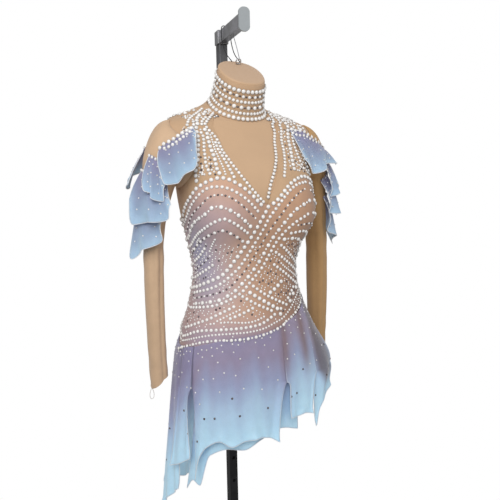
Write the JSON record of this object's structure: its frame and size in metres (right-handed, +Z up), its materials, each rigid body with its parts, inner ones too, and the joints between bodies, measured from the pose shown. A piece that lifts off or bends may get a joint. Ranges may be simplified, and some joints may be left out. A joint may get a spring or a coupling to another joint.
{
  "type": "figure skating dress on a dress form with stand",
  "caption": "Long-sleeved skating dress with a pearled collar, mesh yoke, beaded bodice, shoulder ruffles and petal skirt, worn by a limbless dress form that hangs from its stand.",
  "frame": {"origin": "centre of the base plate's underside, on the floor, under the axis of the dress form", "axes": "+Z up, the front of the dress faces -Y, the wearer's left is +X"},
  "size_m": [0.5334, 0.4, 1.6693],
  "materials": {
    "form_cover": "tan smooth cover, satin",
    "stand_steel": "grey worn steel",
    "end_cap": "pale grey, matt",
    "hanging_wire": "thin pale wire",
    "black_cord": "black braided cord",
    "nude_mesh": "fine nude power mesh",
    "bodice_cloth": "stretch cloth dyed from peach to mauve, soft sheen",
    "ruffle_chiffon": "mauve to ice blue chiffon with a rolled edge",
    "skirt_chiffon": "mauve to ice blue dip-dyed chiffon with a rolled edge",
    "pearl": "white pearl beads",
    "dark_stone": "small dark cut stones"
  },
  "bodies": {
    "root": {"form_torso": "form_cover", "base_plate": "stand_steel", "post": "stand_steel", "bracket": "stand_steel", "arm": "stand_steel", "arm_end_plate": "end_cap", "neck_eye": "stand_steel", "hanging_wire": "hanging_wire", "cord_loop": "black_cord", "collar": "nude_mesh", "front_yoke_left": "nude_mesh", "front_yoke_right": "nude_mesh", "back_yoke": "nude_mesh", "bodice_front": "bodice_cloth", "bodice_back": "bodice_cloth", "briefs": "bodice_cloth", "gusset": "bodice_cloth", "sleeve_left": "nude_mesh", "sleeve_right": "nude_mesh", "finger_loop_left": "nude_mesh", "finger_loop_right": "nude_mesh", "ruffle_front_left": "ruffle_chiffon", "ruffle_fold_left": "ruffle_chiffon", "ruffle_upper_left": "ruffle_chiffon", "ruffle_lower_left": "ruffle_chiffon", "ruffle_back_left": "ruffle_chiffon", "ruffle_front_right": "ruffle_chiffon", "ruffle_fold_right": "ruffle_chiffon", "ruffle_upper_right": "ruffle_chiffon", "ruffle_lower_right": "ruffle_chiffon", "ruffle_back_right": "ruffle_chiffon", "skirt_front": "skirt_chiffon", "skirt_front_left": "skirt_chiffon", "skirt_front_right": "skirt_chiffon", "skirt_side_flap": "skirt_chiffon", "skirt_tail": "skirt_chiffon", "skirt_back_left": "skirt_chiffon", "skirt_back_right": "skirt_chiffon", "underskirt": "skirt_chiffon"}
  },
  "joints": []
}
